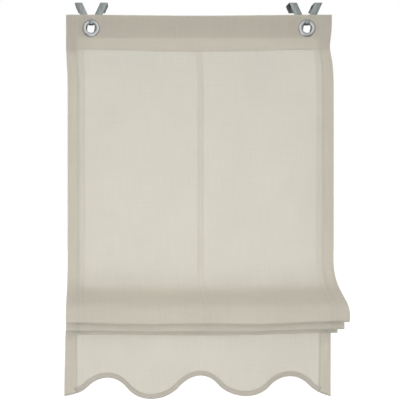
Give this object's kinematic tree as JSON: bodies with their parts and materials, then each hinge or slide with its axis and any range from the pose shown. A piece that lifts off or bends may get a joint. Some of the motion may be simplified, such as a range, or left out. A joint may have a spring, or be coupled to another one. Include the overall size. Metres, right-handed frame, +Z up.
{
  "type": "roman blind",
  "caption": "Pale cloth roman blind with a stiff eyelet header on sash hooks, soft pleats drawn up on sewn tapes, and a flap with a bound scalloped foot.",
  "frame": {"origin": "middle of the window sash's top front edge, on which the hooks' seats rest", "axes": "+X to the right seen from the room, +Y towards the window, +Z up"},
  "size_m": [0.6, 0.0882, 0.892],
  "materials": {
    "cloth": "plain weave, matt",
    "binding": "plain weave, matt",
    "tape": "woven tape, matt",
    "stiffener": "stiff non-woven strip",
    "ring": "moulded, satin",
    "eyelet": "bright nickel plate",
    "hook": "dull zinc plate"
  },
  "bodies": {
    "root": {"blind_cloth": "cloth", "scallop_binding": "binding", "header_stiffener": "stiffener", "eyelet_front_left": "eyelet", "eyelet_washer_left": "eyelet", "sash_hook_left": "hook", "eyelet_front_right": "eyelet", "eyelet_washer_right": "eyelet", "sash_hook_right": "hook", "lift_tape_left": "tape", "lift_tape_centre": "tape", "lift_tape_right": "tape", "lift_ring_left_1": "ring", "lift_ring_left_2": "ring", "lift_ring_left_3": "ring", "lift_ring_left_4": "ring", "lift_ring_left_5": "ring", "lift_ring_left_6": "ring", "lift_ring_centre_1": "ring", "lift_ring_centre_2": "ring", "lift_ring_centre_3": "ring", "lift_ring_centre_4": "ring", "lift_ring_centre_5": "ring", "lift_ring_centre_6": "ring", "lift_ring_right_1": "ring", "lift_ring_right_2": "ring", "lift_ring_right_3": "ring", "lift_ring_right_4": "ring", "lift_ring_right_5": "ring", "lift_ring_right_6": "ring"}
  },
  "joints": []
}
